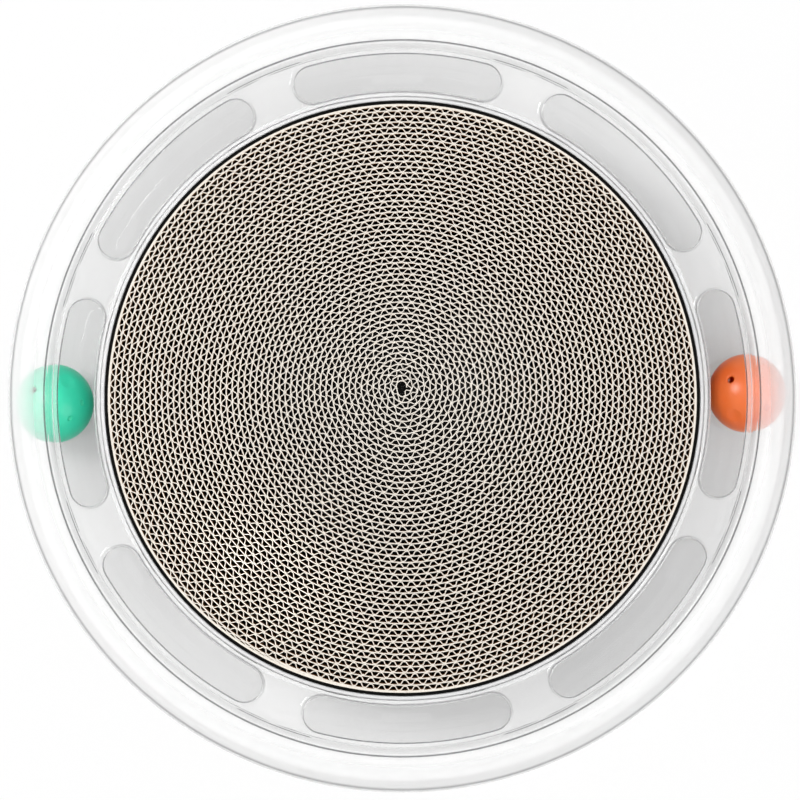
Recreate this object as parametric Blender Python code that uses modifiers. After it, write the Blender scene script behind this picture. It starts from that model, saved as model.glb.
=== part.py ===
"""Round cat scratcher: a wound cardboard pad in a clear tray, with a covered ball track around it."""

import math

import bmesh
import bpy
from mathutils import Matrix, Vector

# Pad, in metres like every length here
PAD_RADIUS = 0.148
PAD_HEIGHT = 0.045
WRAP_THICK = 0.0013
BOARD_THICK = 0.00296
LINER_THICK = 0.00054
CORE_RADIUS = 0.0028
CORE_OFFSET_X = -0.0003
CORE_OFFSET_Y = 0.0064
GROOVE_DEPTH = 0.006

# Clear shells
WALL = 0.002
FLOOR_THICK = 0.0024
LAND_THICK = 0.0022
TRAY_EDGE_CHAMFER = 0.001
TRAY_WALL_HEIGHT = 0.0196
LAP_HEIGHT = 0.004
SKIRT_DEPTH = 0.010
RIM_RISE = 0.001
RIM_EDGE = 0.0006
STEP_RISE = 0.0018
STEP_RUN = 0.0035
CREST_WIDTH = 0.0019
SHOULDER_RADIUS = 0.0185

# Paw slots
SLOT_COUNT = 8
SLOT_WIDTH = 0.018
SLOT_SPAN = math.radians(36.6)
SLOT_LEDGE = 0.0012

# Balls, each a hollow shell in two halves
BALL_RADIUS = 0.020
BALL_WALL = 0.0016
BALL_LIP = 0.0015
SOUND_HOLE_RADIUS = 0.0018
DIMPLE_RADIUS = 0.0015
DIMPLE_DEPTH = 0.0008
FLAT_RADIUS = 0.0042
FLAT_DEPTH = 0.0007
HOLE_TILT = math.radians(37)
HOLE_TURN = math.radians(143)
DIMPLE_TILT = math.radians(36)
DIMPLE_TURN = math.radians(319)
SIDE_DIMPLE_TILT = math.radians(48)
SIDE_DIMPLE_TURN = math.radians(1)
FLAT_TILT = math.radians(43)
FLAT_TURN = math.radians(55)

# Jingle bells
BELL_RADIUS = 0.0065
BELL_WALL = 0.0006
BELL_MOUTH_RADIUS = 0.0012
BELL_SLIT_WIDTH = 0.0012
BELL_SLIT_LENGTH = 0.010
BELL_SLIT_DEPTH = 0.004
PELLET_RADIUS = 0.0018

# Grip feet
FOOT_COUNT = 6
FOOT_RADIUS = 0.009
FOOT_DROP = 0.002
FOOT_SEAT = 0.0008
FOOT_EDGE = 0.0004
FOOT_INSET = 0.028

# Clearances
TOUCH_GAP = 0.0003
PAD_PLAY = 0.0004
TRACK_PLAY = 0.0037
GREEN_OUTER_PLAY = 0.001
ORANGE_OUTER_PLAY = 0.0025
HEADROOM = 0.0013

# Facets
SHELL_STEPS = 64
ROLL_STEPS = 48
SHOULDER_STEPS = 5
SLOT_ARC_STEPS = 8
SLOT_END_STEPS = 8
BALL_STEPS = 24
BALL_ARC_STEPS = 6
BELL_STEPS = 16
BELL_ARC_STEPS = 6
PELLET_STEPS = 10
PELLET_RINGS = 6
HOLE_STEPS = 10
FLAT_STEPS = 16
FOOT_STEPS = 24
CUT_MARGIN = 0.001
MERGE = 0.00001

# Radii, from the pad outwards
WRAP_INNER = PAD_RADIUS + TOUCH_GAP
WRAP_OUTER = WRAP_INNER + WRAP_THICK
SKIRT_INNER = WRAP_OUTER + PAD_PLAY
SKIRT_OUTER = SKIRT_INNER + WALL
WELL_INNER = SKIRT_OUTER + TOUCH_GAP
WELL_OUTER = WELL_INNER + WALL
TRACK_OUTER = WELL_OUTER + 2 * BALL_RADIUS + TRACK_PLAY
OUTER_RADIUS = TRACK_OUTER + WALL
GREEN_ORBIT = TRACK_OUTER - GREEN_OUTER_PLAY - BALL_RADIUS
ORANGE_ORBIT = TRACK_OUTER - ORANGE_OUTER_PLAY - BALL_RADIUS
LAP_MIDDLE = TRACK_OUTER + WALL / 2
FOOT_CIRCLE_RADIUS = PAD_RADIUS - FOOT_INSET
CREST_OUTER = OUTER_RADIUS - SHOULDER_RADIUS
CREST_INNER = CREST_OUTER - CREST_WIDTH
LAND_OUTER = CREST_INNER - STEP_RUN
SLOT_INNER = WELL_OUTER + SLOT_LEDGE
SLOT_OUTER = SLOT_INNER + SLOT_WIDTH
SLOT_MIDDLE = (SLOT_INNER + SLOT_OUTER) / 2

# Heights, from the ground up
UNDERSIDE = FOOT_DROP
FLOOR_TOP = UNDERSIDE + FLOOR_THICK
PAD_BOTTOM = FLOOR_TOP + TOUCH_GAP
BALL_CENTRE = FLOOR_TOP + TOUCH_GAP + BALL_RADIUS
LAND_UNDER = BALL_CENTRE + BALL_RADIUS + HEADROOM
LAND_TOP = LAND_UNDER + LAND_THICK
RIM_TOP = LAND_TOP + RIM_RISE
CREST_TOP = LAND_TOP + STEP_RISE
SHOULDER_CENTRE = CREST_TOP - SHOULDER_RADIUS
SPLIT = FLOOR_TOP + TRAY_WALL_HEIGHT
LAP_TOP = SPLIT + LAP_HEIGHT
WELL_TOP = LAND_UNDER - TOUCH_GAP

CLEAR = (0.93, 0.95, 0.96)
KRAFT = (0.62, 0.5, 0.37)
BLACK = (0.012, 0.012, 0.012)
GREEN = (0.03, 0.55, 0.33)
ORANGE = (0.83, 0.2, 0.05)
BRASS = (0.75, 0.55, 0.25)
STEEL = (0.6, 0.6, 0.6)
RUBBER = (0.05, 0.05, 0.05)


def clear_scene():
    for obj in list(bpy.data.objects):
        bpy.data.objects.remove(obj, do_unlink=True)


def new_collection(name):
    collection = bpy.data.collections.new(name)
    bpy.context.scene.collection.children.link(collection)
    return collection


clear_scene()
PARTS = new_collection("cat_scratcher")
CUTTERS = new_collection("cutters")


def finish(name, colour, roughness, metallic=0.0, transmission=0.0):
    material = bpy.data.materials.new(name + "_finish")
    material.use_nodes = True
    shader = material.node_tree.nodes["Principled BSDF"]
    shader.inputs["Base Color"].default_value = (*colour, 1.0)
    shader.inputs["Roughness"].default_value = roughness
    shader.inputs["Metallic"].default_value = metallic
    shader.inputs["Transmission Weight"].default_value = transmission
    return material


def add_part(name, mesh, material, location=(0, 0, 0), parent=None):
    obj = bpy.data.objects.new(name, mesh)
    PARTS.objects.link(obj)
    mesh.materials.append(material)
    obj.location = location
    obj.parent = parent
    return obj


def add_empty(name, location, parent=None):
    empty = bpy.data.objects.new(name, None)
    PARTS.objects.link(empty)
    empty.location = location
    empty.parent = parent
    return empty


def add_cutter(name, mesh, parent=None):
    cutter = bpy.data.objects.new(name, mesh)
    CUTTERS.objects.link(cutter)
    cutter.parent = parent
    cutter.hide_render = True
    cutter.display_type = "WIRE"
    return cutter


def cut(part, cutter):
    boolean = part.modifiers.new("Cut", "BOOLEAN")
    boolean.operation = "DIFFERENCE"
    boolean.solver = "EXACT"
    boolean.object = cutter


def turned_mesh(name, profile, closed):
    """A profile of (radius, height) points that runs down its outer side."""
    count = len(profile)
    edges = [(i, i + 1) for i in range(count - 1)]
    if closed:
        edges.append((count - 1, 0))
    mesh = bpy.data.meshes.new(name)
    mesh.from_pydata([(radius, 0, height) for radius, height in profile], edges, [])
    return mesh


def turn(part, steps):
    screw = part.modifiers.new("Turn", "SCREW")
    screw.axis = "Z"
    screw.angle = 2 * math.pi
    screw.steps = steps
    screw.render_steps = steps
    screw.use_merge_vertices = True
    screw.merge_threshold = MERGE
    screw.use_smooth_shade = True


def arc(centre, radius, start, end, steps):
    """Points round a centre in a profile, from one angle to another."""
    angles = [start + (end - start) * i / steps for i in range(steps + 1)]
    return [(centre[0] + radius * math.cos(a), centre[1] + radius * math.sin(a)) for a in angles]


def add_cylinder(mesh_builder, radius, low, high, steps, matrix=None):
    """A closed cylinder along Z from low to high, placed by the matrix."""
    made = bmesh.ops.create_cone(
        mesh_builder,
        cap_ends=True,
        segments=steps,
        radius1=radius,
        radius2=radius,
        depth=high - low,
        matrix=(matrix or Matrix()) @ Matrix.Translation((0, 0, (low + high) / 2)),
    )
    return made["verts"]


def mesh_from(mesh_builder, name):
    mesh = bpy.data.meshes.new(name)
    mesh_builder.to_mesh(mesh)
    mesh_builder.free()
    return mesh


# Base tray

def foot_places():
    angles = [math.tau * (i + 0.5) / FOOT_COUNT for i in range(FOOT_COUNT)]
    return [FOOT_CIRCLE_RADIUS * Vector((math.cos(a), math.sin(a), 0)) for a in angles]


def base_tray():
    profile = [
        (0, FLOOR_TOP),
        (WELL_INNER, FLOOR_TOP),
        (WELL_INNER, WELL_TOP),
        (WELL_OUTER, WELL_TOP),
        (WELL_OUTER, FLOOR_TOP),
        (TRACK_OUTER, FLOOR_TOP),
        (TRACK_OUTER, LAP_TOP),
        (LAP_MIDDLE - TOUCH_GAP / 2, LAP_TOP),
        (LAP_MIDDLE - TOUCH_GAP / 2, SPLIT),
        (OUTER_RADIUS, SPLIT),
        (OUTER_RADIUS, UNDERSIDE + TRAY_EDGE_CHAMFER),
        (OUTER_RADIUS - TRAY_EDGE_CHAMFER, UNDERSIDE),
        (0, UNDERSIDE),
    ]
    mesh = turned_mesh("base_tray", profile, closed=False)
    tray = add_part("base_tray", mesh, finish("base_tray", CLEAR, 0.05, transmission=1.0))
    turn(tray, SHELL_STEPS)
    builder = bmesh.new()
    for place in foot_places():
        seat_radius = FOOT_RADIUS + TOUCH_GAP
        low, high = UNDERSIDE - CUT_MARGIN, UNDERSIDE + FOOT_SEAT
        add_cylinder(builder, seat_radius, low, high, FOOT_STEPS, Matrix.Translation(place))
    cut(tray, add_cutter("foot_seats", mesh_from(builder, "foot_seats")))
    return tray


def grip_feet(tray):
    material = finish("grip_foot", RUBBER, 0.8)
    for number, place in enumerate(foot_places(), start=1):
        builder = bmesh.new()
        add_cylinder(builder, FOOT_RADIUS, 0, UNDERSIDE + FOOT_SEAT - TOUCH_GAP, FOOT_STEPS)
        name = f"grip_foot_{number}"
        foot = add_part(name, mesh_from(builder, name), material, place, tray)
        bevel = foot.modifiers.new("Edge", "BEVEL")
        bevel.width = FOOT_EDGE
        bevel.segments = 1


# Track cover

def slot_outline():
    """Corners of one slot round the +X axis, a curved slot with half-round ends."""
    end_radius = SLOT_WIDTH / 2
    half = SLOT_SPAN / 2 - math.asin(end_radius / SLOT_MIDDLE)
    far, near = [(SLOT_MIDDLE * math.cos(a), SLOT_MIDDLE * math.sin(a)) for a in (half, -half)]
    outer_side = arc((0, 0), SLOT_OUTER, -half, half, SLOT_ARC_STEPS)
    far_end = arc(far, end_radius, half, half + math.pi, SLOT_END_STEPS)
    inner_side = arc((0, 0), SLOT_INNER, half, -half, SLOT_ARC_STEPS)
    near_end = arc(near, end_radius, math.pi - half, math.tau - half, SLOT_END_STEPS)
    return outer_side + far_end[1:-1] + inner_side + near_end[1:-1]


def slot_cutter():
    builder = bmesh.new()
    low, high = LAND_UNDER - CUT_MARGIN, LAND_TOP + CUT_MARGIN
    for i in range(SLOT_COUNT):
        turned = Matrix.Rotation(math.tau * i / SLOT_COUNT, 4, "Z")
        corners = [builder.verts.new(turned @ Vector((x, y, low))) for x, y in slot_outline()]
        base = builder.faces.new(corners)
        top = bmesh.ops.extrude_face_region(builder, geom=[base])["geom"]
        raised = [item for item in top if isinstance(item, bmesh.types.BMVert)]
        bmesh.ops.translate(builder, verts=raised, vec=(0, 0, high - low))
    bmesh.ops.recalc_face_normals(builder, faces=builder.faces[:])
    return add_cutter("paw_slots", mesh_from(builder, "paw_slots"))


def track_cover():
    shoulder = (CREST_OUTER, SHOULDER_CENTRE)
    quarter = math.pi / 2
    profile = [
        (SKIRT_INNER, RIM_TOP - RIM_EDGE),
        (SKIRT_INNER + RIM_EDGE, RIM_TOP),
        (SKIRT_OUTER - RIM_EDGE, RIM_TOP),
        (SKIRT_OUTER, LAND_TOP),
        (LAND_OUTER, LAND_TOP),
        (CREST_INNER, CREST_TOP),
        *arc(shoulder, SHOULDER_RADIUS, quarter, 0, SHOULDER_STEPS),
        (OUTER_RADIUS, SPLIT + TOUCH_GAP),
        (LAP_MIDDLE + TOUCH_GAP / 2, SPLIT + TOUCH_GAP),
        (LAP_MIDDLE + TOUCH_GAP / 2, LAP_TOP + TOUCH_GAP),
        (TRACK_OUTER, LAP_TOP + TOUCH_GAP),
        *arc(shoulder, SHOULDER_RADIUS - WALL, 0, quarter, SHOULDER_STEPS),
        (CREST_INNER, CREST_TOP - WALL),
        (LAND_OUTER, LAND_UNDER),
        (SKIRT_OUTER, LAND_UNDER),
        (SKIRT_OUTER, LAND_UNDER - SKIRT_DEPTH),
        (SKIRT_INNER, LAND_UNDER - SKIRT_DEPTH),
    ]
    mesh = turned_mesh("track_cover", profile, closed=True)
    cover = add_part("track_cover", mesh, finish("track_cover", CLEAR, 0.05, transmission=1.0))
    turn(cover, SHELL_STEPS)
    cut(cover, slot_cutter())


# Scratching pad

def roll_profile():
    """Half section of the roll, with a groove between each turn of the board and the next."""
    last_turn = PAD_RADIUS - LINER_THICK / 2
    turns = int((last_turn - CORE_RADIUS) / BOARD_THICK - 0.5)
    valley = PAD_HEIGHT - GROOVE_DEPTH
    profile = [(CORE_RADIUS, 0), (CORE_RADIUS, valley)]
    for i in range(turns, 0, -1):
        ridge = last_turn - i * BOARD_THICK
        profile += [(ridge, PAD_HEIGHT), (ridge + BOARD_THICK / 2, valley)]
    return profile + [(last_turn, PAD_HEIGHT), (PAD_RADIUS, PAD_HEIGHT), (PAD_RADIUS, 0)]


def roll_mesh(name):
    """The section turned round, with the turns' centres sliding from the middle to the core's own place."""
    builder = bmesh.new()
    corners = [builder.verts.new((radius, 0, height)) for radius, height in roll_profile()]
    sides = [builder.edges.new(pair) for pair in zip(corners, corners[1:] + corners[:1])]
    bmesh.ops.spin(
        builder, geom=corners + sides, axis=(0, 0, 1), angle=math.tau, steps=ROLL_STEPS, use_merge=True
    )
    bmesh.ops.recalc_face_normals(builder, faces=builder.faces[:])
    for vert in builder.verts:
        slide = 1 - vert.co.xy.length / PAD_RADIUS
        vert.co += slide * Vector((CORE_OFFSET_X, CORE_OFFSET_Y, 0))
    return mesh_from(builder, name)


def scratching_pad():
    name = "corrugated_roll"
    roll = add_part(name, roll_mesh(name), finish(name, KRAFT, 0.9), (0, 0, PAD_BOTTOM))
    profile = [
        (WRAP_OUTER, PAD_HEIGHT),
        (WRAP_OUTER, 0),
        (WRAP_INNER, 0),
        (WRAP_INNER, PAD_HEIGHT),
    ]
    wrap_mesh = turned_mesh("pad_wrap", profile, closed=True)
    wrap = add_part("pad_wrap", wrap_mesh, finish("pad_wrap", BLACK, 0.8), parent=roll)
    turn(wrap, SHELL_STEPS)


# Balls and bells

def ball_feature_cutter(name, parent, side):
    """Sound hole, dimples and round flats of one half; side is 1 for the upper half, -1 for the lower."""
    builder = bmesh.new()
    mirrored = Matrix.Scale(side, 4, (0, 0, 1))
    through = BALL_RADIUS - BALL_WALL - CUT_MARGIN
    dimple = BALL_RADIUS - DIMPLE_DEPTH
    flat = BALL_RADIUS - FLAT_DEPTH
    high = BALL_RADIUS + CUT_MARGIN
    features = [
        (HOLE_TURN, HOLE_TILT, SOUND_HOLE_RADIUS, through, HOLE_STEPS),
        (DIMPLE_TURN, DIMPLE_TILT, DIMPLE_RADIUS, dimple, HOLE_STEPS),
        (SIDE_DIMPLE_TURN, SIDE_DIMPLE_TILT, DIMPLE_RADIUS, dimple, HOLE_STEPS),
        (FLAT_TURN, FLAT_TILT, FLAT_RADIUS, flat, FLAT_STEPS),
        (FLAT_TURN + math.pi, FLAT_TILT, FLAT_RADIUS, flat, FLAT_STEPS),
    ]
    for turn_angle, tilt, radius, bottom, steps in features:
        aim = Matrix.Rotation(turn_angle, 4, "Z") @ Matrix.Rotation(tilt, 4, "Y")
        add_cylinder(builder, radius, bottom, high, steps, mirrored @ aim)
    bmesh.ops.recalc_face_normals(builder, faces=builder.faces[:])
    return add_cutter(name + "_features", mesh_from(builder, name + "_features"), parent)


def upper_half_profile():
    inner = BALL_RADIUS - BALL_WALL
    lip_outer = inner + (BALL_WALL - TOUCH_GAP) / 2
    seam = TOUCH_GAP / 2
    equator = math.asin(seam / BALL_RADIUS)
    lip_angle = -math.asin(BALL_LIP / inner)
    outside = arc((0, 0), BALL_RADIUS, math.pi / 2, equator, BALL_ARC_STEPS)
    inside = arc((0, 0), inner, lip_angle, math.pi / 2, BALL_ARC_STEPS)
    lip = [(lip_outer, seam), (lip_outer, -BALL_LIP)]
    return [(0, BALL_RADIUS), *outside[1:], *lip, *inside[:-1], (0, inner)]


def lower_half_profile():
    inner = BALL_RADIUS - BALL_WALL
    socket = inner + (BALL_WALL + TOUCH_GAP) / 2
    seam = -TOUCH_GAP / 2
    shelf = -BALL_LIP - TOUCH_GAP
    inside = arc((0, 0), inner, -math.pi / 2, math.asin(shelf / inner), BALL_ARC_STEPS)
    outside = arc((0, 0), BALL_RADIUS, math.asin(seam / BALL_RADIUS), -math.pi / 2, BALL_ARC_STEPS)
    return [(0, -inner), *inside[1:], (socket, shelf), (socket, seam), *outside[:-1], (0, -BALL_RADIUS)]


def bell_mesh(name):
    inner = BELL_RADIUS - BELL_WALL
    outside_end = -math.acos(BELL_MOUTH_RADIUS / BELL_RADIUS)
    inside_end = -math.acos(BELL_MOUTH_RADIUS / inner)
    outside = arc((0, 0), BELL_RADIUS, math.pi / 2, outside_end, BELL_ARC_STEPS)
    inside = arc((0, 0), inner, inside_end, math.pi / 2, BELL_ARC_STEPS)
    return turned_mesh(name, [(0, BELL_RADIUS), *outside[1:], *inside[:-1], (0, inner)], closed=False)


def bell_slit_cutter(name, parent):
    builder = bmesh.new()
    high = BELL_SLIT_DEPTH - BELL_RADIUS
    low = -BELL_RADIUS - CUT_MARGIN
    size = Matrix.Diagonal((BELL_SLIT_LENGTH, BELL_SLIT_WIDTH, high - low, 1))
    place = Matrix.Translation((0, 0, (low + high) / 2))
    bmesh.ops.create_cube(builder, size=1, matrix=place @ size)
    return add_cutter(name + "_slit", mesh_from(builder, name + "_slit"), parent)


def ball(colour_name, colour, place_x):
    """One ball in the track, with its bell. The empty at its centre is on the axis that it rolls about."""
    centre = add_empty(colour_name + "_ball_centre", (place_x, 0, BALL_CENTRE))
    shell = finish(colour_name + "_ball", colour, 0.35)
    halves = (("upper", 1, upper_half_profile()), ("lower", -1, lower_half_profile()))
    for half_name, side, profile in halves:
        name = f"{colour_name}_ball_{half_name}_half"
        half = add_part(name, turned_mesh(name, profile, closed=False), shell, parent=centre)
        turn(half, BALL_STEPS)
        cut(half, ball_feature_cutter(name, centre, side))
    bell_drop = BALL_RADIUS - BALL_WALL - TOUCH_GAP - BELL_RADIUS
    bell_centre = add_empty(colour_name + "_bell_centre", (0, 0, -bell_drop), centre)
    name = colour_name + "_bell"
    bell = add_part(name, bell_mesh(name), finish(name, BRASS, 0.3, metallic=1.0), parent=bell_centre)
    turn(bell, BELL_STEPS)
    cut(bell, bell_slit_cutter(name, bell_centre))
    name = colour_name + "_bell_pellet"
    builder = bmesh.new()
    bmesh.ops.create_uvsphere(
        builder, u_segments=PELLET_STEPS, v_segments=PELLET_RINGS, radius=PELLET_RADIUS
    )
    pellet_drop = BELL_RADIUS - BELL_WALL - TOUCH_GAP - PELLET_RADIUS
    pellet_finish = finish(name, STEEL, 0.3, metallic=1.0)
    add_part(name, mesh_from(builder, name), pellet_finish, (0, 0, -pellet_drop), bell_centre)


grip_feet(base_tray())
track_cover()
scratching_pad()
ball("green", GREEN, -GREEN_ORBIT)
ball("orange", ORANGE, ORANGE_ORBIT)
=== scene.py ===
import math

import bmesh
import bpy
import numpy as np
from mathutils import Matrix, Vector


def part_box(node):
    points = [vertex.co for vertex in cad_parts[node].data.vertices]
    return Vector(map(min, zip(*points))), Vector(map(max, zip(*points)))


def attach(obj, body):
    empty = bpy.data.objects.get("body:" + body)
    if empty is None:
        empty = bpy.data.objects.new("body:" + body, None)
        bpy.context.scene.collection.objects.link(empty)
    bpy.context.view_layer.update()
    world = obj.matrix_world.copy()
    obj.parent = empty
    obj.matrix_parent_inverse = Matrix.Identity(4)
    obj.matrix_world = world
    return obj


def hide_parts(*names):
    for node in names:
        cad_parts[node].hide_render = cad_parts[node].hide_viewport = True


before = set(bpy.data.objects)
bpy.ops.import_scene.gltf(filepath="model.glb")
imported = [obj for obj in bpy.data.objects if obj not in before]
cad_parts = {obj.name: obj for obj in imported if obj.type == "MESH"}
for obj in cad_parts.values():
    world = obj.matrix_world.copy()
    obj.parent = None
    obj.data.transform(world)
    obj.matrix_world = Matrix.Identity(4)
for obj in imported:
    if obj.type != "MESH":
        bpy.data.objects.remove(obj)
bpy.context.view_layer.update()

tray_low, tray_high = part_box("base_tray")
cover_low, cover_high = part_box("track_cover")
roll_low, roll_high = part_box("corrugated_roll")
wrap_low, wrap_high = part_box("pad_wrap")

# Sizes that the frame's boxes don't give, in metres, as the solids have them
WALL = 0.002
FLOOR_THICK = 0.0024
LAND_THICK = 0.0022
TOUCH_GAP = 0.0003
LAP_HEIGHT = 0.004
SKIRT_DEPTH = 0.010
RIM_RISE = 0.001
STEP_RISE = 0.0018
STEP_RUN = 0.0035
CREST_WIDTH = 0.0019
SHOULDER_RADIUS = 0.0185
PAD_PLAY = 0.0004
SLOT_COUNT = 8
SLOT_WIDTH = 0.018
SLOT_SPAN = math.radians(36.6)
SLOT_LEDGE = 0.0012
FOOT_COUNT = 6
FOOT_SEAT = 0.0008

# Radii and heights of the clear shells
OUTER_RADIUS = cover_high.x
TRACK_OUTER = OUTER_RADIUS - WALL
LAP_MIDDLE = TRACK_OUTER + WALL / 2
WRAP_INNER = roll_high.x + TOUCH_GAP
WRAP_OUTER = wrap_high.x
SKIRT_INNER = WRAP_OUTER + PAD_PLAY
SKIRT_OUTER = SKIRT_INNER + WALL
WELL_INNER = SKIRT_OUTER + TOUCH_GAP
WELL_OUTER = WELL_INNER + WALL
CREST_OUTER = OUTER_RADIUS - SHOULDER_RADIUS
CREST_INNER = CREST_OUTER - CREST_WIDTH
LAND_OUTER = CREST_INNER - STEP_RUN
SLOT_INNER = WELL_OUTER + SLOT_LEDGE
SLOT_OUTER = SLOT_INNER + SLOT_WIDTH
SLOT_MIDDLE = (SLOT_INNER + SLOT_OUTER) / 2
UNDERSIDE = tray_low.z
FLOOR_TOP = UNDERSIDE + FLOOR_THICK
WELL_TOP = tray_high.z
CREST_TOP = cover_high.z
LAND_TOP = CREST_TOP - STEP_RISE
LAND_UNDER = LAND_TOP - LAND_THICK
RIM_TOP = LAND_TOP + RIM_RISE
SHOULDER_CENTRE = CREST_TOP - SHOULDER_RADIUS
SPLIT = cover_low.z - TOUCH_GAP
LAP_TOP = SPLIT + LAP_HEIGHT

# Camera, from the photograph: straight down, with the slots turned a little in the picture
IMAGE_PIXELS = 800
CENTRE_PIXEL = (402.3, 398.4)
PIXELS_PER_METRE = 1986
CAMERA_HEIGHT = 2.3
CAMERA_ROLL = math.radians(-0.85)
SENSOR_WIDTH = 36

# Rings of the clear plastic: how much scatters light instead of passing it on, and how matt each is
HAZE_RINGS = [
    (SKIRT_OUTER - 0.0003, 0.75, 0.0002),
    (SKIRT_OUTER + 0.0015, 0.15, 0.0002),
    (SLOT_INNER - 0.0004, 0.15, 0.0002),
    (SLOT_OUTER + 0.0006, 0.09, 0.0002),
    (LAND_OUTER + 0.0006, 0.12, 0.0002),
    (CREST_INNER + 0.0005, 0.01, 0.0002),
    (OUTER_RADIUS - 0.0095, 0.22, 0.006),
    (OUTER_RADIUS, 0.64, 0.0),
]
LOW_HAZE_RINGS = [
    (WELL_INNER - 0.0002, 0.1, 0.0001),
    (WELL_OUTER + 0.0003, 0.35, 0.0002),
    (OUTER_RADIUS, 0.05, 0.0),
]
ROUGH_RINGS = [(WELL_INNER, 0.6, 0.0002), (OUTER_RADIUS, 0.0, 0.0)]

# How much light the balls' thin plastic lets through
LIGHT_THROUGH = 0.16

SHARP_ANGLE = math.radians(30)
SHELL_STEPS = 640
SECTOR_STEPS = SHELL_STEPS // SLOT_COUNT
END_STEPS = 14
SEAT_STEPS = 48


# Mesh helpers

def add_object(name, mesh):
    obj = bpy.data.objects.new(name, mesh)
    bpy.context.scene.collection.objects.link(obj)
    return obj


def mesh_object(name, builder, material, weld=1e-6):
    """An object from a bmesh: welded, faces outwards, smooth apart from sharp edges."""
    bmesh.ops.remove_doubles(builder, verts=builder.verts[:], dist=weld)
    bmesh.ops.recalc_face_normals(builder, faces=builder.faces[:])
    mesh = bpy.data.meshes.new(name)
    builder.to_mesh(mesh)
    builder.free()
    mesh.materials.append(material)
    mesh.shade_smooth()
    mesh.set_sharp_from_angle(angle=SHARP_ANGLE)
    return add_object(name, mesh)


def arc(centre, radius, start, end, steps):
    angles = np.linspace(start, end, steps + 1)
    return [(centre[0] + radius * math.cos(a), centre[1] + radius * math.sin(a)) for a in angles]


def rounded(corners, steps=4):
    """A profile through (radius, height, fillet) corners, each fillet an arc between its two sides."""
    points = []
    for i, (r, z, fillet) in enumerate(corners):
        if not fillet:
            points.append((r, z))
            continue
        here = Vector((r, z))
        before = (Vector(corners[i - 1][:2]) - here).normalized()
        after = (Vector(corners[(i + 1) % len(corners)][:2]) - here).normalized()
        half = before.angle(after) / 2
        start = here + before * fillet / math.tan(half)
        end = here + after * fillet / math.tan(half)
        centre = here + (before + after).normalized() * fillet / math.sin(half)
        for t in np.linspace(0, 1, steps + 1):
            spoke = (start - centre).slerp(end - centre, float(t)).normalized()
            points.append(tuple(centre + spoke * fillet))
    return points


def add_strip(builder, loops, painted_shades=None):
    """Quads between closed loops of points, each loop as long as the next, with painted shade per point
    that darkens edges.
    """
    layer = builder.verts.layers.float.get("painted_edge_shade") or builder.verts.layers.float.new("painted_edge_shade")
    rows = []
    for number, loop in enumerate(loops):
        row = [builder.verts.new(point) for point in loop]
        for vert, shade in zip(row, painted_shades[number] if painted_shades else []):
            vert[layer] = shade
        rows.append(row)
    for one, two in zip(rows, rows[1:]):
        count = len(one)
        for i in range(count):
            j = (i + 1) % count
            builder.faces.new([one[i], one[j], two[j], two[i]])


def ring_loops(profile, steps):
    """One loop round the Z axis for each (radius, height) point."""
    angles = [math.tau * i / steps for i in range(steps)]
    return [[(r * math.cos(a), r * math.sin(a), z) for a in angles] for r, z in profile]


# Material helpers

def new_material(name):
    material = bpy.data.materials.new(name)
    material.use_nodes = True
    return material, material.node_tree.nodes, material.node_tree.links


def add_noise(nodes, links, scale, detail=4.0, coordinates="Object"):
    place = nodes.new("ShaderNodeTexCoord")
    noise = nodes.new("ShaderNodeTexNoise")
    noise.inputs["Scale"].default_value = scale
    noise.inputs["Detail"].default_value = detail
    links.new(place.outputs[coordinates], noise.inputs["Vector"])
    return noise


def remap(nodes, links, value, low, high):
    """Maps a value of 0 to 1 to the range from low to high."""
    node = nodes.new("ShaderNodeMapRange")
    node.inputs["To Min"].default_value = low
    node.inputs["To Max"].default_value = high
    links.new(value, node.inputs["Value"])
    return node.outputs["Result"]


def ramp(nodes, links, value, stops):
    """A colour ramp through (position, colour) stops."""
    node = nodes.new("ShaderNodeValToRGB")
    while len(node.color_ramp.elements) < len(stops):
        node.color_ramp.elements.new(0.5)
    for element, (position, colour) in zip(node.color_ramp.elements, stops):
        element.position = position
        element.color = (*colour, 1.0)
    links.new(value, node.inputs["Fac"])
    return node.outputs["Color"]


def add_bump(nodes, links, shader, height, strength, distance):
    bump = nodes.new("ShaderNodeBump")
    bump.inputs["Strength"].default_value = strength
    bump.inputs["Distance"].default_value = distance
    links.new(height, bump.inputs["Height"])
    links.new(bump.outputs["Normal"], shader.inputs["Normal"])


# Materials

def ring_ramp(nodes, links, radius, rings):
    """A value for each ring: its outer radius, its value, half the width of the blend to the next."""
    stops = []
    for (outer, value, blend), (_, following, _) in zip(rings, rings[1:]):
        stops.append(((outer - blend) / OUTER_RADIUS, (value, value, value)))
        stops.append(((outer + blend) / OUTER_RADIUS, (following, following, following)))
    return ramp(nodes, links, radius, stops)


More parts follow.
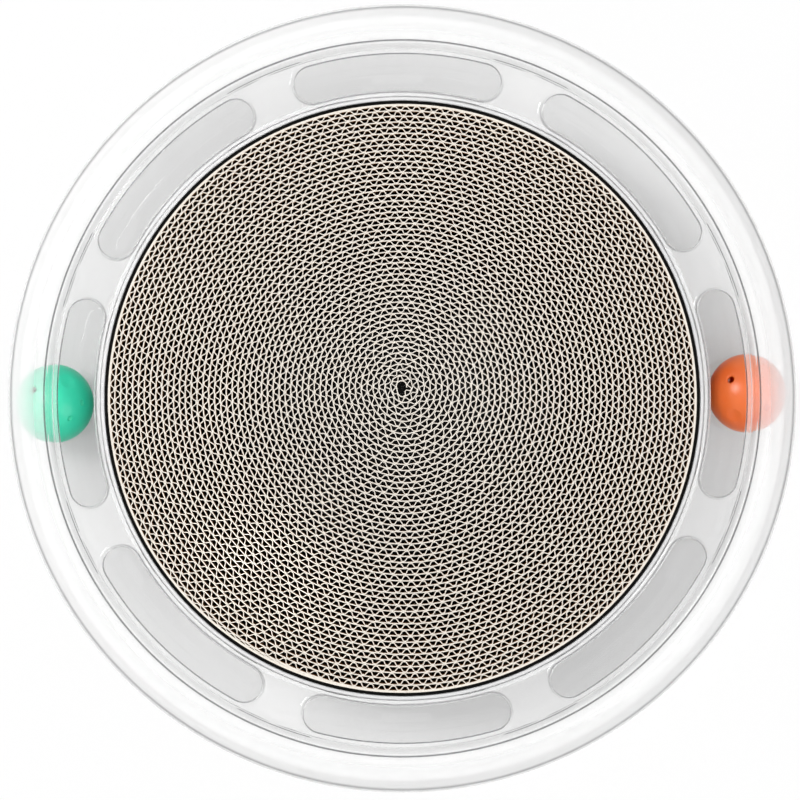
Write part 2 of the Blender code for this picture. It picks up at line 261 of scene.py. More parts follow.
def clear_plastic(name):
    """Clear moulded plastic that lets lamps through, hazy at the shoulder and round the pad well, with
    painted shade along its edges and grooves.
    """
    material, nodes, links = new_material(name)
    shader = nodes["Principled BSDF"]
    shader.inputs["IOR"].default_value = 1.49
    # Painted shade: a vertex attribute darkens the plastic's tint along grooves, slot edges, the rim's
    # foot and low on the shoulder.
    edge = nodes.new("ShaderNodeAttribute")
    edge.attribute_name = "painted_edge_shade"
    painted_shade_tints = [(0.0, (0.985, 0.985, 0.985)), (1.0, (0.12, 0.12, 0.125))]
    links.new(ramp(nodes, links, edge.outputs["Fac"], painted_shade_tints), shader.inputs["Base Color"])
    place = nodes.new("ShaderNodeTexCoord")
    split = nodes.new("ShaderNodeSeparateXYZ")
    links.new(place.outputs["Object"], split.inputs["Vector"])
    flat = nodes.new("ShaderNodeCombineXYZ")
    links.new(split.outputs["X"], flat.inputs["X"])
    links.new(split.outputs["Y"], flat.inputs["Y"])
    radius = nodes.new("ShaderNodeVectorMath")
    radius.operation = "LENGTH"
    links.new(flat.outputs["Vector"], radius.inputs[0])
    share = nodes.new("ShaderNodeMapRange")
    share.inputs["From Max"].default_value = OUTER_RADIUS
    links.new(radius.outputs["Value"], share.inputs["Value"])
    haze = ring_ramp(nodes, links, share.outputs["Result"], HAZE_RINGS)
    height = nodes.new("ShaderNodeMapRange")
    height.inputs["From Min"].default_value = LAP_TOP
    height.inputs["From Max"].default_value = SHOULDER_CENTRE + 0.004
    links.new(split.outputs["Z"], height.inputs["Value"])
    upper = nodes.new("ShaderNodeMath")
    upper.operation = "MULTIPLY"
    links.new(haze, upper.inputs[0])
    links.new(height.outputs["Result"], upper.inputs[1])
    amount = nodes.new("ShaderNodeMath")
    amount.operation = "MAXIMUM"
    links.new(upper.outputs["Value"], amount.inputs[0])
    links.new(ring_ramp(nodes, links, share.outputs["Result"], LOW_HAZE_RINGS), amount.inputs[1])
    passed = remap(nodes, links, amount.outputs["Value"], 1.0, 0.0)
    links.new(passed, shader.inputs["Transmission Weight"])
    ripple = add_noise(nodes, links, 9.0, 2.0)
    polish = remap(nodes, links, ripple.outputs["Fac"], 0.01, 0.05)
    rough = nodes.new("ShaderNodeMath")
    rough.operation = "MAXIMUM"
    links.new(polish, rough.inputs[0])
    links.new(ring_ramp(nodes, links, share.outputs["Result"], ROUGH_RINGS), rough.inputs[1])
    links.new(rough.outputs["Value"], shader.inputs["Roughness"])
    add_bump(nodes, links, shader, ripple.outputs["Fac"], 0.05, 0.0006)
    clear = nodes.new("ShaderNodeBsdfTransparent")
    clear.inputs["Color"].default_value = (0.97, 0.97, 0.97, 1.0)
    rays = nodes.new("ShaderNodeLightPath")
    mix = nodes.new("ShaderNodeMixShader")
    links.new(rays.outputs["Is Shadow Ray"], mix.inputs["Fac"])
    links.new(shader.outputs["BSDF"], mix.inputs[1])
    links.new(clear.outputs["BSDF"], mix.inputs[2])
    links.new(mix.outputs["Shader"], nodes["Material Output"].inputs["Surface"])
    return material


def paper(name, dark, light):
    """Kraft paper with short fibres."""
    material, nodes, links = new_material(name)
    shader = nodes["Principled BSDF"]
    fibre = add_noise(nodes, links, 900.0, 5.0)
    colour = ramp(nodes, links, fibre.outputs["Fac"], [(0.3, dark), (0.7, light)])
    links.new(colour, shader.inputs["Base Color"])
    shader.inputs["Roughness"].default_value = 0.9
    shader.inputs["Specular IOR Level"].default_value = 0.2
    add_bump(nodes, links, shader, fibre.outputs["Fac"], 0.4, 0.0002)
    return material


def black_paper(name):
    material, nodes, links = new_material(name)
    shader = nodes["Principled BSDF"]
    grain = add_noise(nodes, links, 700.0, 5.0)
    tones = [(0.3, (0.002, 0.002, 0.002)), (0.75, (0.007, 0.0065, 0.006))]
    shade = ramp(nodes, links, grain.outputs["Fac"], tones)
    links.new(shade, shader.inputs["Base Color"])
    shader.inputs["Specular IOR Level"].default_value = 0.05
    links.new(remap(nodes, links, grain.outputs["Fac"], 0.65, 0.9), shader.inputs["Roughness"])
    add_bump(nodes, links, shader, grain.outputs["Fac"], 0.3, 0.0002)
    return material


def ball_plastic(name, dark, light):
    """Satin plastic, thin enough to let some light into the ball."""
    material, nodes, links = new_material(name)
    shader = nodes["Principled BSDF"]
    cloud = add_noise(nodes, links, 60.0, 3.0)
    grain = add_noise(nodes, links, 1500.0, 3.0)
    colour = ramp(nodes, links, cloud.outputs["Fac"], [(0.3, dark), (0.7, light)])
    links.new(colour, shader.inputs["Base Color"])
    links.new(remap(nodes, links, grain.outputs["Fac"], 0.26, 0.34), shader.inputs["Roughness"])
    shader.inputs["Specular IOR Level"].default_value = 0.75
    add_bump(nodes, links, shader, grain.outputs["Fac"], 0.12, 0.0001)
    through = nodes.new("ShaderNodeBsdfTranslucent")
    links.new(colour, through.inputs["Color"])
    mix = nodes.new("ShaderNodeMixShader")
    mix.inputs["Fac"].default_value = LIGHT_THROUGH
    links.new(shader.outputs["BSDF"], mix.inputs[1])
    links.new(through.outputs["BSDF"], mix.inputs[2])
    links.new(mix.outputs["Shader"], nodes["Material Output"].inputs["Surface"])
    return material


def metal(name, dark, light):
    material, nodes, links = new_material(name)
    shader = nodes["Principled BSDF"]
    shader.inputs["Metallic"].default_value = 1.0
    stain = add_noise(nodes, links, 400.0, 4.0)
    colour = ramp(nodes, links, stain.outputs["Fac"], [(0.3, dark), (0.7, light)])
    links.new(colour, shader.inputs["Base Color"])
    links.new(remap(nodes, links, stain.outputs["Fac"], 0.18, 0.4), shader.inputs["Roughness"])
    return material


def rubber(name):
    material, nodes, links = new_material(name)
    shader = nodes["Principled BSDF"]
    grain = add_noise(nodes, links, 1200.0, 4.0)
    tones = [(0.3, (0.03, 0.03, 0.032)), (0.7, (0.06, 0.06, 0.062))]
    shade = ramp(nodes, links, grain.outputs["Fac"], tones)
    links.new(shade, shader.inputs["Base Color"])
    links.new(remap(nodes, links, grain.outputs["Fac"], 0.6, 0.85), shader.inputs["Roughness"])
    add_bump(nodes, links, shader, grain.outputs["Fac"], 0.3, 0.0002)
    return material


SHELL = clear_plastic("clear_shell")
KRAFT = paper("kraft_paper", (0.72, 0.49, 0.27), (0.88, 0.65, 0.40))
# The strips' paler top band: partly the cut paper's own tone, partly painted light, a lit copy of the
# kraft
CUT_EDGE_AND_PAINTED_LIGHT = paper("cut_edge_and_painted_light", (0.86, 0.78, 0.68), (0.96, 0.91, 0.83))
BAND = black_paper("black_paper")
GREEN = ball_plastic("green_plastic", (0.008, 0.72, 0.44), (0.02, 0.80, 0.50))
ORANGE = ball_plastic("orange_plastic", (0.96, 0.155, 0.012), (0.99, 0.215, 0.03))
BRASS = metal("bell_brass", (0.62, 0.42, 0.16), (0.82, 0.62, 0.3))
STEEL = metal("pellet_steel", (0.45, 0.45, 0.46), (0.65, 0.65, 0.66))
RUBBER = rubber("foot_rubber")


# Track cover

# Painted shade along the slot lips: dark lines at each slot's edges, at different distances on its
# outer and inner sides, as light falls differently on them
LIP_WIDTH = 0.0029
LIP_RISE = 0.0003
LIP_SHADE = 0.1
LIP_INNER_SHADE = 0.75
GROOVE_DEPTH = 0.00035
GAP_HALF = math.radians(6.6)
LAND_INNER = SKIRT_OUTER + 0.0005
SHOULDER_STEPS = 36

# The step between land and crest, with its foot and head rounded and loops that keep its face flat
STEP_FOOT = 0.0012
STEP_HEAD = 0.0002
STEP_ROUND = 0.00005
SUPPORT = 0.0002
UNDER_FOOT = 0.0007

# Grooves: how far out each point lies from the land's edge, or from the crest's and how deep,
# and the rows of the profile that they end up as, which get painted shade as dark lines
GAP_GROOVE = (0.0006, 0.0007, 0.0010, 0.0011)
GAP_GROOVE_ROWS = (2, 3)
CREASE = ((0.0004, 0.0), (0.0005, GROOVE_DEPTH), (0.0012, GROOVE_DEPTH), (0.0013, 0.0))
CREASE_ROWS = (11, 12)
# The rim's foot: its width, the rows that get painted shade, and how dark that painted shade is
RIM_FOOT_WIDTH = 0.0003
RIM_FOOT_ROWS = (-3, -2)
RIM_FOOT_SHADE = 0.8

# The painted shade low on the shoulder, a dark line: its strength, how far down the quarter turn it
# lies, its half width
EDGE_SHADE = 0.75
EDGE_DROP = 0.7
EDGE_SOFTNESS = 0.08


def slot_loop(offset, z, turned):
    """A slot's outline, moved out by offset, as a loop that matches sector_loop point for point."""
    end_radius = SLOT_WIDTH / 2
    half = SLOT_SPAN / 2 - math.asin(end_radius / SLOT_MIDDLE)
    far, near = [(SLOT_MIDDLE * math.cos(a), SLOT_MIDDLE * math.sin(a)) for a in (half, -half)]
    points = arc((0, 0), SLOT_OUTER + offset, -half, half, SECTOR_STEPS)[:-1]
    points += arc(far, end_radius + offset, half, half + math.pi, END_STEPS)[:-1]
    points += arc((0, 0), SLOT_INNER - offset, half, -half, SECTOR_STEPS)[:-1]
    points += arc(near, end_radius + offset, math.pi - half, math.tau - half, END_STEPS)[:-1]
    return [turned @ Vector((x, y, z)) for x, y in points]


def sector_loop(z, turned):
    """The edge of one slot's share of the land."""
    side = math.pi / SLOT_COUNT
    corner = (math.cos(side), math.sin(side))
    radii = np.linspace(LAND_OUTER, LAND_INNER, END_STEPS + 1)
    points = arc((0, 0), LAND_OUTER, -side, side, SECTOR_STEPS)[:-1]
    points += [(r * corner[0], r * corner[1]) for r in radii[:-1]]
    points += arc((0, 0), LAND_INNER, side, -side, SECTOR_STEPS)[:-1]
    points += [(r * corner[0], -r * corner[1]) for r in radii[:0:-1]]
    return [turned @ Vector((x, y, z)) for x, y in points]


def between_slots(angle):
    pitch = math.tau / SLOT_COUNT
    return abs((angle % pitch) - pitch / 2) < GAP_HALF


def add_land(builder):
    """The flat ring with its slots, each with a rounded raised lip, top and underside.

    Each point of the lip has its distance from the slot, its rise and its painted shade on the slot's
    outer and inner sides, dark lines that stand for the shade along the lip's edges.
    """
    lip_profile = [
        (LIP_WIDTH, 0.0, 0.0, 0.0),
        (LIP_WIDTH - 0.0003, 0.00004, LIP_SHADE, 0.0),
        (LIP_WIDTH - 0.0006, LIP_RISE - 0.00004, LIP_SHADE, 0.0),
        (LIP_WIDTH - 0.0009, LIP_RISE, 0.0, 0.0),
        (0.0012, LIP_RISE, 0.0, LIP_INNER_SHADE),
        (0.0008, LIP_RISE, 0.0, LIP_INNER_SHADE),
        (0.0007, LIP_RISE - 0.00002, 0.0, 0.0),
        (0.0006, LIP_RISE - 0.00005, 1.0, 0.0),
        (0.0003, LIP_RISE - 0.0002, 1.0, 0.0),
        (0.0001, LIP_RISE - 0.0005, 1.0, 0.0),
        (0.0, LIP_RISE - 0.0008, 0.0, 0.0),
    ]
    under_profile = [(0.0, 0.0006), (0.0001, 0.00025), (0.0003, 0.00008), (0.0006, 0.0)]
    for i in range(SLOT_COUNT):
        turned = Matrix.Rotation(math.tau * i / SLOT_COUNT, 3, "Z")
        loops = [sector_loop(LAND_TOP, turned)]
        loops += [slot_loop(d, LAND_TOP + rise, turned) for d, rise, *_ in lip_profile]
        loops += [slot_loop(d, LAND_UNDER + rise, turned) for d, rise in under_profile]
        loops.append(sector_loop(LAND_UNDER, turned))
        levels = [(0.0, 0.0)] + [tuple(levels) for _, _, *levels in lip_profile]
        levels += [(0.0, 0.0)] * (len(under_profile) + 1)
        outline = slot_loop(0.0, 0.0, turned)
        shares = [(point.xy.length - SLOT_INNER) / SLOT_WIDTH for point in outline]
        painted_shades = [[inner + (outer - inner) * t for t in shares] for outer, inner in levels]
        add_strip(builder, loops, painted_shades)


def add_shoulder(builder):
    """The step up to the crest, the rounded shoulder, the wall down to the lap and the inside."""
    shoulder = (CREST_OUTER, SHOULDER_CENTRE)
    quarter = math.pi / 2
    low = Vector((LAND_OUTER + STEP_FOOT, LAND_TOP + STEP_ROUND))
    high = Vector((CREST_INNER - STEP_HEAD, CREST_TOP - STEP_ROUND))
    run = CREST_INNER - LAND_OUTER - STEP_FOOT - STEP_HEAD
    slope = Vector((run, STEP_RISE - 2 * STEP_ROUND)).normalized() * SUPPORT
    step = [
        (LAND_OUTER, LAND_TOP),
        *[(LAND_OUTER + offset, LAND_TOP) for offset in GAP_GROOVE],
        tuple(low),
        tuple(low + slope),
        tuple(high - slope),
        tuple(high),
        (CREST_INNER, CREST_TOP),
        *[(CREST_INNER + offset, CREST_TOP - depth) for offset, depth in CREASE],
    ]
    wall = rounded(
        [
            (OUTER_RADIUS, SHOULDER_CENTRE - 0.001, 0),
            (OUTER_RADIUS, SPLIT + TOUCH_GAP, 0.0003),
            (LAP_MIDDLE + TOUCH_GAP / 2, SPLIT + TOUCH_GAP, 0),
            (LAP_MIDDLE + TOUCH_GAP / 2, LAP_TOP + TOUCH_GAP, 0),
            (TRACK_OUTER, LAP_TOP + TOUCH_GAP, 0.0002),
            (TRACK_OUTER, SHOULDER_CENTRE - 0.001, 0),
        ]
    )
    profile = step + arc(shoulder, SHOULDER_RADIUS, quarter, 0, SHOULDER_STEPS) + wall
    profile += arc(shoulder, SHOULDER_RADIUS - WALL, 0, quarter, SHOULDER_STEPS // 2)
    profile += [
        (CREST_INNER, CREST_TOP - WALL),
        (LAND_OUTER + UNDER_FOOT, LAND_UNDER),
        (LAND_OUTER, LAND_UNDER),
    ]
    loops = ring_loops(profile, SHELL_STEPS)
    # Painted shade: a dark line low on the shoulder, and dark lines in the gap grooves and the crease
    painted_shades = [[0.0] * SHELL_STEPS for _ in loops]
    for i in range(SHOULDER_STEPS + 1):
        drop = i / SHOULDER_STEPS
        level = EDGE_SHADE * max(0.0, 1 - abs(drop - EDGE_DROP) / EDGE_SOFTNESS)
        painted_shades[len(step) + i] = [level] * SHELL_STEPS
    for row in GAP_GROOVE_ROWS:
        for i, (x, y, z) in enumerate(loops[row]):
            if between_slots(math.atan2(y, x)):
                loops[row][i] = (x, y, z - GROOVE_DEPTH / 2)
                painted_shades[row][i] = 1.0
    for row in CREASE_ROWS:
        painted_shades[row] = [1.0] * SHELL_STEPS
    add_strip(builder, loops, painted_shades)


def add_rim(builder):
    """The low rim round the pad, with the skirt that hangs into the well."""
    rim = rounded(
        [
            (LAND_INNER, LAND_UNDER, 0),
            (SKIRT_OUTER, LAND_UNDER, 0),
            (SKIRT_OUTER, LAND_UNDER - SKIRT_DEPTH, 0.0004),
            (SKIRT_INNER, LAND_UNDER - SKIRT_DEPTH, 0.0004),
            (SKIRT_INNER, RIM_TOP, 0.0006),
            (SKIRT_OUTER - 0.0002, RIM_TOP, 0.0006),
        ]
    )
    foot = [
        (SKIRT_OUTER, LAND_TOP + 0.0001),
        (SKIRT_OUTER + RIM_FOOT_WIDTH, LAND_TOP),
        (LAND_INNER, LAND_TOP),
    ]
    loops = ring_loops(rim + foot, SHELL_STEPS)
    painted_shades = [[0.0] * SHELL_STEPS for _ in loops]
    # Painted shade along the rim's foot
    for row in RIM_FOOT_ROWS:
        painted_shades[row] = [RIM_FOOT_SHADE] * SHELL_STEPS
    add_strip(builder, loops, painted_shades)


def make_cover():
    builder = bmesh.new()
    add_land(builder)
    add_shoulder(builder)
    add_rim(builder)
    cover = mesh_object("clear_cover", builder, SHELL)
    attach(cover, "cover")
    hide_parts("track_cover")


# Base tray

def make_tray():
    builder = bmesh.new()
    profile = rounded(
        [
            (0, FLOOR_TOP, 0),
            (WELL_INNER, FLOOR_TOP, 0.0008),
            (WELL_INNER, WELL_TOP, 0.0004),
            (WELL_OUTER, WELL_TOP, 0.0004),
            (WELL_OUTER, FLOOR_TOP, 0.0015),
            (TRACK_OUTER, FLOOR_TOP, 0.0015),
            (TRACK_OUTER, LAP_TOP, 0.0002),
            (LAP_MIDDLE - TOUCH_GAP / 2, LAP_TOP, 0.0002),
            (LAP_MIDDLE - TOUCH_GAP / 2, SPLIT, 0),
            (OUTER_RADIUS, SPLIT, 0.0003),
            (OUTER_RADIUS, UNDERSIDE, 0.001),
            (0, UNDERSIDE, 0),
        ]
    )
    add_strip(builder, ring_loops(profile, SHELL_STEPS))
    tray = mesh_object("clear_tray", builder, SHELL)
    seats = bmesh.new()
    for number in range(1, FOOT_COUNT + 1):
        low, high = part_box(f"grip_foot_{number}")
        middle = (low + high) / 2
        radius = (high.x - low.x) / 2 + TOUCH_GAP
        bmesh.ops.create_cone(
            seats,
            cap_ends=True,
            segments=SEAT_STEPS,
            radius1=radius,
            radius2=radius,
            depth=2 * FOOT_SEAT,
            matrix=Matrix.Translation((middle.x, middle.y, UNDERSIDE)),
        )
    cut_away(tray, mesh_object("foot_seats", seats, SHELL))
    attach(tray, "base")
    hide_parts("base_tray")


def cut_away(obj, cutter):
    """Cuts the cutter out of the object, applies the cut and removes the cutter."""
    boolean = obj.modifiers.new("Cut", "BOOLEAN")
    boolean.operation = "DIFFERENCE"
    boolean.solver = "EXACT"
    boolean.object = cutter
    shown = obj.evaluated_get(bpy.context.evaluated_depsgraph_get())
    mesh = bpy.data.meshes.new_from_object(shown)
    mesh.set_sharp_from_angle(angle=SHARP_ANGLE)
    obj.modifiers.clear()
    obj.data = mesh
    bpy.data.objects.remove(cutter)


# Scratching pad

LINER_THICK = 0.00054
LAST_LINER_THICK = 0.0011
FLUTE_THICK = 0.00045
TURNS = 48
FLUTE_LENGTH = 0.0058
FIRST_RADIUS = 0.0056
CORE_OFFSET = Vector((-0.0003, 0.0064))
CORE_CURL = math.radians(300)
TAIL_ANGLE = math.radians(-78)
TAIL_SPREAD = math.radians(80)
LINER_STEP = 0.0035
EDGE_ROUGHNESS = 0.00012
# Depth of the paler top band, partly painted light
PALE_TOP_DEPTH = 0.0006
BAND_GAP = 0.00002
# The black band is drawn this much wider than the wrap so that it fills the gap to the skirt: painted
# shade where the gap is dark
BAND_SWELL_PAINTED_GAP_SHADE = 0.0003
SEED = 7
WINDING_STEPS = 200000
CORE_CURL_STEPS = 16
FLUTE_DRIFT = 0.025
FLUTE_PHASES = [-0.15, 0.0, 0.15, 0.35, 0.5, 0.65]
FLUTE_HEIGHTS = [0.88, 1.0, 0.88, -0.88, -1.0, -0.88]
LAST_RADIUS = WRAP_INNER - BAND_GAP - LAST_LINER_THICK / 2
PITCH = (LAST_RADIUS - FIRST_RADIUS) / TURNS


def turn_radius(wound):
    """Radius of the liner after winding through an angle, counted from the tail's direction."""
    turn = np.floor(wound / math.tau)
    rest = wound - turn * math.tau
    rise = np.clip((rest - math.tau + TAIL_SPREAD) / TAIL_SPREAD, 0, 1)
    smooth = rise * rise * (3 - 2 * rise)
    return np.minimum(FIRST_RADIUS + PITCH * (turn + smooth), LAST_RADIUS)


def place_on_roll(wound, radius):
    """Points in the plane; the turns' centres slide from the core to the middle of the disc."""
    angle = wound + TAIL_ANGLE
    slide = 1 - radius / LAST_RADIUS
    x = CORE_OFFSET.x * slide + radius * np.cos(angle)
    y = CORE_OFFSET.y * slide + radius * np.sin(angle)
    return np.stack([x, y], axis=1)


def ribbon(name, path, thickness, low, high, material):
    """A standing strip of board along a path, between the heights of its lower and upper edges."""
    along = np.gradient(path, axis=0)
    along /= np.linalg.norm(along, axis=1)[:, None]
    across = np.stack([-along[:, 1], along[:, 0]], axis=1) * np.reshape(thickness, (-1, 1)) / 2
    count = len(path)
    corners = [(path + across, high), (path - across, high), (path - across, low), (path + across, low)]
    points = np.concatenate([np.column_stack(corner) for corner in corners])
    index = np.arange(count - 1)
    faces = []
    for one in range(4):
        two = (one + 1) % 4
        a, b = one * count + index, two * count + index
        faces.append(np.stack([a, a + 1, b + 1, b], axis=1))
    first = [0, count, 2 * count, 3 * count]
    ends = [first, [i + count - 1 for i in reversed(first)]]
    mesh = bpy.data.meshes.new(name)
    mesh.from_pydata(points.tolist(), [], np.concatenate(faces).tolist() + ends)
    mesh.materials.append(material)
    strip = add_object(name, mesh)
    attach(strip, "pad")
    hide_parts("corrugated_roll")


def board(name, path, thickness, random):
    """A strip of kraft board with a slightly ragged top, whose top band is paler: partly the cut edge's
    own tone and partly painted light where the top catches the lamps.
    """
    count = len(path)
    seam = np.full(count, roll_high.z - PALE_TOP_DEPTH)
    ragged = roll_high.z - EDGE_ROUGHNESS * random.random(count)
    ribbon(name + "_walls", path, thickness, np.full(count, roll_low.z), seam, KRAFT)
    ribbon(name + "_edge", path, thickness, seam, ragged, CUT_EDGE_AND_PAINTED_LIGHT)


def make_roll():
    """The liner as one wound strip, and the flutes as another that zigzags between its turns."""
    random = np.random.default_rng(SEED)
    end = (TURNS + 1) * math.tau
    wound = np.linspace(0, end, WINDING_STEPS)
    length = np.concatenate([[0], np.cumsum(turn_radius(wound[1:]) * np.diff(wound))])
    steps = int(length[-1] / LINER_STEP)
    liner_wound = np.interp(np.linspace(0, length[-1], steps), length, wound)
    curl = np.linspace(-CORE_CURL, 0, CORE_CURL_STEPS, endpoint=False)
    liner_wound = np.concatenate([curl, liner_wound])
    liner_thick = np.where(liner_wound < TURNS * math.tau, LINER_THICK, LAST_LINER_THICK)
    board("liner", place_on_roll(liner_wound, turn_radius(liner_wound)), liner_thick, random)
    waves = int(length[-1] / FLUTE_LENGTH)
    phase = (np.arange(waves)[:, None] + np.array(FLUTE_PHASES)).ravel()
    height = np.tile(FLUTE_HEIGHTS, waves)
    drift = np.repeat(random.normal(0, FLUTE_DRIFT, waves * 2), 3)
    flute_wound = np.interp(np.clip((phase + drift) / waves, 0, 1) * length[-1], length, wound)
    cover_thick = np.where(flute_wound < TURNS * math.tau, LINER_THICK, LAST_LINER_THICK)
    outer = turn_radius(flute_wound) - (cover_thick + FLUTE_THICK) / 2
    inner = turn_radius(flute_wound) - PITCH
    previous = turn_radius(np.maximum(flute_wound - math.tau, 0))
    inner = np.where(flute_wound > math.tau, previous, inner) + (LINER_THICK + FLUTE_THICK) / 2
    middle, reach = (outer + inner) / 2, np.maximum((outer - inner) / 2, 0)
    board("flutes", place_on_roll(flute_wound, middle + height * reach), FLUTE_THICK, random)


def make_band():
    builder = bmesh.new()
    corners = [
        (WRAP_OUTER + BAND_SWELL_PAINTED_GAP_SHADE, wrap_high.z, 0.0002),
        (WRAP_OUTER + BAND_SWELL_PAINTED_GAP_SHADE, wrap_low.z, 0.0002),
        (WRAP_INNER, wrap_low.z, 0.0002),
        (WRAP_INNER, wrap_high.z, 0.0002),
    ]
    profile = rounded(corners, steps=2)
    add_strip(builder, ring_loops([*profile, profile[0]], SHELL_STEPS))
    band = mesh_object("pad_band", builder, BAND)
    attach(band, "pad")
    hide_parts("pad_wrap")


# Balls

BALL_WALL = 0.0016
BALL_LIP = 0.0015
HOLE_RADIUS = 0.0018
SINK_RADIUS = 0.0028
SINK_DEPTH = 0.0007
DIMPLE_RADIUS = 0.0015
DIMPLE_DEPTH = 0.0008
FLAT_RADIUS = 0.0042
FLAT_DEPTH = 0.0007
HOLE_TILT = math.radians(37)
HOLE_TURN = math.radians(143)
DIMPLE_TILT = math.radians(36)
DIMPLE_TURN = math.radians(319)
SIDE_DIMPLE_TILT = math.radians(48)
SIDE_DIMPLE_TURN = math.radians(1)
FLAT_TILT = math.radians(43)
FLAT_TURN = math.radians(55)
BALL_STEPS = 72
BALL_ARC_STEPS = 20
FEATURE_STEPS = 40


def half_profile(radius, side):
    """The upper half has the lip and the lower half the socket."""
    inner = radius - BALL_WALL
    gap = TOUCH_GAP / 2
    quarter = math.pi / 2
    middle = inner + (BALL_WALL - side * TOUCH_GAP) / 2
    shelf = -BALL_LIP - (TOUCH_GAP if side < 0 else 0)
    outside = arc((0, 0), radius, side * quarter, side * math.asin(gap / radius), BALL_ARC_STEPS)
    inside = arc((0, 0), inner, math.asin(shelf / inner), side * quarter, BALL_ARC_STEPS)
    return [*outside, (middle, side * gap), (middle, shelf), *inside]


def recess(depth, width, radius):
    """Profile of a round recess with a dished floor, along the axis that it is sunk on."""
    over = 0.001
    floor = radius - depth
    return [
        (0, floor - width * 0.06),
        (width * 0.6, floor),
        (width, radius - depth / 2),
        (width, radius + over),
        (0, radius + over),
    ]


def feature_cutter(radius, side):
    """The countersunk sound hole, the dimples and the round flats of one half."""
    builder = bmesh.new()
    mirrored = Matrix.Scale(side, 4, (0, 0, 1))
    through = radius - BALL_WALL - 0.001
    flare = 2 * SINK_RADIUS - HOLE_RADIUS
    hole = [
        (0, through),
        (HOLE_RADIUS, through),
        (HOLE_RADIUS, radius - SINK_DEPTH),
        (flare, radius + SINK_DEPTH),
        (0, radius + SINK_DEPTH),
    ]
    dimple = recess(DIMPLE_DEPTH, DIMPLE_RADIUS, radius)
    flat = recess(FLAT_DEPTH, FLAT_RADIUS, radius)
    features = [
        (HOLE_TURN, HOLE_TILT, hole),
        (DIMPLE_TURN, DIMPLE_TILT, dimple),
        (SIDE_DIMPLE_TURN, SIDE_DIMPLE_TILT, dimple),
        (FLAT_TURN, FLAT_TILT, flat),
        (FLAT_TURN + math.pi, FLAT_TILT, flat),
    ]
    for turn, tilt, profile in features:
        aim = mirrored @ Matrix.Rotation(turn, 4, "Z") @ Matrix.Rotation(tilt, 4, "Y")
        loops = [[aim @ Vector(point) for point in loop] for loop in ring_loops(profile, FEATURE_STEPS)]
        add_strip(builder, loops)
    return mesh_object("features", builder, SHELL, weld=1e-7)


def make_ball(colour, material):
    for half_name, side in (("upper", 1), ("lower", -1)):
        node = f"{colour}_ball_{half_name}_half"
        low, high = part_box(node)
        radius = (high.x - low.x) / 2
        pole = high.z if side > 0 else low.z
        centre = Vector(((low.x + high.x) / 2, (low.y + high.y) / 2, pole - side * radius))
        builder = bmesh.new()
        add_strip(builder, ring_loops(half_profile(radius, side), BALL_STEPS))
        half = mesh_object(f"{colour}_{half_name}_shell", builder, material)
        cut_away(half, feature_cutter(radius, side))
        half.data.transform(Matrix.Translation(centre))
        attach(half, f"{colour}_ball")
        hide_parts(node)


def dress_nodes():
    """Finishes of the solids that stay as they are."""
    for node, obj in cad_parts.items():
        finish = None
        if node.startswith("grip_foot"):
            finish = RUBBER
        elif node.endswith("_pellet"):
            finish = STEEL
        elif node.endswith("_bell"):
            finish = BRASS
        if finish:
            obj.data.materials.clear()
            obj.data.materials.append(finish)


# Stage, light and camera

# Rings of the floor, with painted shadow, near black under the pad and greyer under the tray: how
# bright each one shows itself, and how much of what is seen is that tone instead of the light that
# falls on the floor
FLOOR_SIZE = 3.0
FLOOR_DROP = 0.0002
FLOOR_EDGE = 1.0
PAINTED_SHADOW_RADIUS = 0.1856
PALE_RADIUS = 0.1945
SHADE_BLUR = 0.0012
FLOOR_PAINTED_SHADOW_TONES = [(WRAP_OUTER, 0.012), (PAINTED_SHADOW_RADIUS, 0.64), (PALE_RADIUS, 0.84), (FLOOR_EDGE, 1.03)]
FLOOR_SHARES = [(WRAP_OUTER, 0.4), (PAINTED_SHADOW_RADIUS, 0.4), (FLOOR_EDGE, 0.9)]

# Light: the sky's strength at the horizon and overhead, and each lamp's place, size and power
SKY_LOW = 1.3
SKY_HIGH = 0.2
LAMPS = {
    "overhead": ((0, 0, 2.0), 2.0, 6.5),
    "key": ((-1.2, 0.61, 1.73), 0.7, 15),
    "fill": ((1.2, -0.8, 1.7), 1.4, 7.5),
}


def seen_rays(nodes, links):
    """1 for rays that show a thing to the camera, straight or in a mirror or through glass."""
    rays = nodes.new("ShaderNodeLightPath")
    total = rays.outputs["Is Camera Ray"]
    for kind in ("Is Glossy Ray", "Is Transmission Ray"):
        larger = nodes.new("ShaderNodeMath")
        larger.operation = "MAXIMUM"
        links.new(total, larger.inputs[0])
        links.new(rays.outputs[kind], larger.inputs[1])
        total = larger.outputs["Value"]
    return total


def ring_steps(nodes, links, radius, rings):
    """A value for each ring of the floor, from (outer radius, value) pairs, blended between rings."""
    total = None
    for (outer, value), (_, following) in zip(rings, rings[1:]):
        step = nodes.new("ShaderNodeMapRange")
        step.inputs["From Min"].default_value = outer - SHADE_BLUR
        step.inputs["From Max"].default_value = outer + SHADE_BLUR
        step.inputs["To Min"].default_value = value if total is None else 0.0
        step.inputs["To Max"].default_value = following if total is None else following - value
        links.new(radius, step.inputs["Value"])
        if total is None:
            total = step.outputs["Result"]
            continue
        sum_node = nodes.new("ShaderNodeMath")
        links.new(total, sum_node.inputs[0])
        links.new(step.outputs["Result"], sum_node.inputs[1])
        total = sum_node.outputs["Value"]
    return total


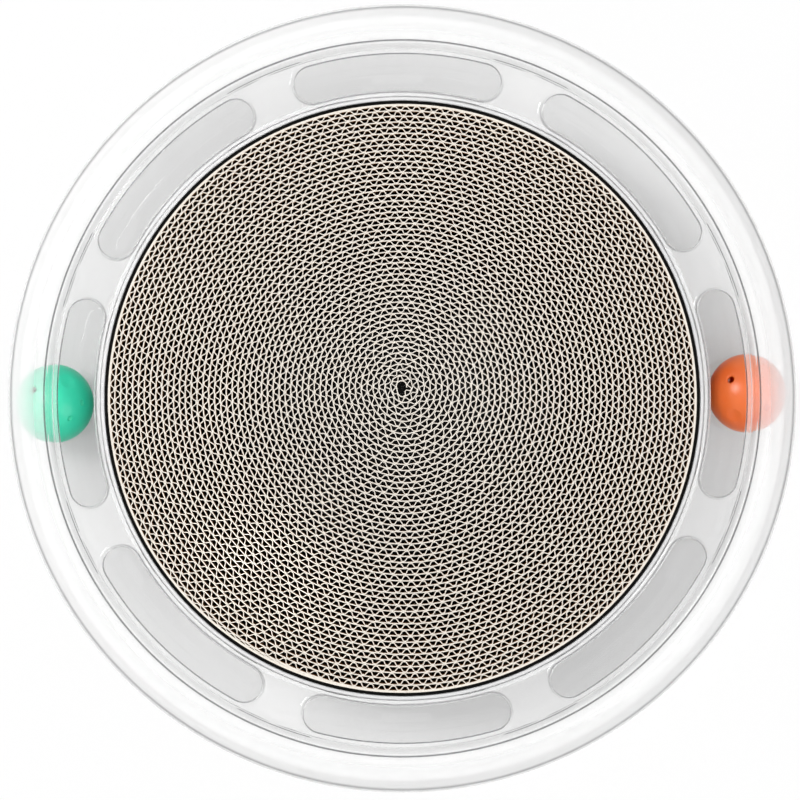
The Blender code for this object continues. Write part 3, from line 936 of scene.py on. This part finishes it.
def make_floor():
    """A white floor, shown at an even white, with painted shadow under the tray and under the pad."""
    builder = bmesh.new()
    bmesh.ops.create_grid(builder, x_segments=1, y_segments=1, size=FLOOR_SIZE)
    material, nodes, links = new_material("white_floor")
    shader = nodes["Principled BSDF"]
    shader.inputs["Base Color"].default_value = (0.7, 0.7, 0.7, 1.0)
    shader.inputs["Roughness"].default_value = 0.9
    shader.inputs["Specular IOR Level"].default_value = 0.0
    place = nodes.new("ShaderNodeTexCoord")
    radius = nodes.new("ShaderNodeVectorMath")
    radius.operation = "LENGTH"
    links.new(place.outputs["Object"], radius.inputs[0])
    # The emission's strength, ring by ring, is painted shadow under the tray and the pad, and white
    # beyond them
    tone_with_painted_shadow = nodes.new("ShaderNodeEmission")
    links.new(ring_steps(nodes, links, radius.outputs["Value"], FLOOR_PAINTED_SHADOW_TONES), tone_with_painted_shadow.inputs["Strength"])
    share = nodes.new("ShaderNodeMath")
    share.operation = "MULTIPLY"
    links.new(ring_steps(nodes, links, radius.outputs["Value"], FLOOR_SHARES), share.inputs[0])
    links.new(seen_rays(nodes, links), share.inputs[1])
    mix = nodes.new("ShaderNodeMixShader")
    links.new(share.outputs["Value"], mix.inputs["Fac"])
    links.new(shader.outputs["BSDF"], mix.inputs[1])
    links.new(tone_with_painted_shadow.outputs["Emission"], mix.inputs[2])
    links.new(mix.outputs["Shader"], nodes["Material Output"].inputs["Surface"])
    floor = mesh_object("floor", builder, material)
    floor.location.z = -FLOOR_DROP


def area_light(name, place, size, power):
    """A square lamp that faces the middle of the object's foot."""
    lamp = bpy.data.lights.new(name, "AREA")
    lamp.shape = "SQUARE"
    lamp.size = size
    lamp.energy = power
    obj = bpy.data.objects.new(name, lamp)
    bpy.context.scene.collection.objects.link(obj)
    obj.location = place
    obj.rotation_euler = (-Vector(place)).to_track_quat("-Z", "Y").to_euler()


def make_light():
    """Lamps overhead, from the left and from the right, and a sky that is brightest at the horizon."""
    world = bpy.data.worlds.new("studio")
    bpy.context.scene.world = world
    world.use_nodes = True
    nodes, links = world.node_tree.nodes, world.node_tree.links
    direction = nodes.new("ShaderNodeTexCoord")
    split = nodes.new("ShaderNodeSeparateXYZ")
    links.new(direction.outputs["Generated"], split.inputs["Vector"])
    sky = nodes["Background"]
    sky.inputs["Color"].default_value = (1.0, 1.0, 1.0, 1.0)
    links.new(remap(nodes, links, split.outputs["Z"], SKY_LOW, SKY_HIGH), sky.inputs["Strength"])
    white = nodes.new("ShaderNodeBackground")
    white.inputs["Color"].default_value = (1.0, 1.0, 1.0, 1.0)
    mix = nodes.new("ShaderNodeMixShader")
    links.new(seen_rays(nodes, links), mix.inputs["Fac"])
    links.new(sky.outputs["Background"], mix.inputs[1])
    links.new(white.outputs["Background"], mix.inputs[2])
    links.new(mix.outputs["Shader"], nodes["World Output"].inputs["Surface"])
    for name, (place, size, power) in LAMPS.items():
        area_light(name, place, size, power)


def make_camera():
    camera = bpy.data.cameras.new("camera")
    camera.sensor_width = SENSOR_WIDTH
    camera.lens = PIXELS_PER_METRE * CAMERA_HEIGHT * SENSOR_WIDTH / IMAGE_PIXELS
    obj = bpy.data.objects.new("camera", camera)
    bpy.context.scene.collection.objects.link(obj)
    middle = IMAGE_PIXELS / 2
    x = (middle - CENTRE_PIXEL[0]) / PIXELS_PER_METRE
    y = (CENTRE_PIXEL[1] - middle) / PIXELS_PER_METRE
    obj.location = (x, y, roll_high.z + CAMERA_HEIGHT)
    obj.rotation_euler = (0, 0, CAMERA_ROLL)
    bpy.context.scene.camera = obj


make_camera()
make_cover()
make_tray()
make_roll()
make_band()
make_ball("green", GREEN)
make_ball("orange", ORANGE)
dress_nodes()
make_floor()
make_light()

bpy.context.scene.view_settings.view_transform = "Standard"
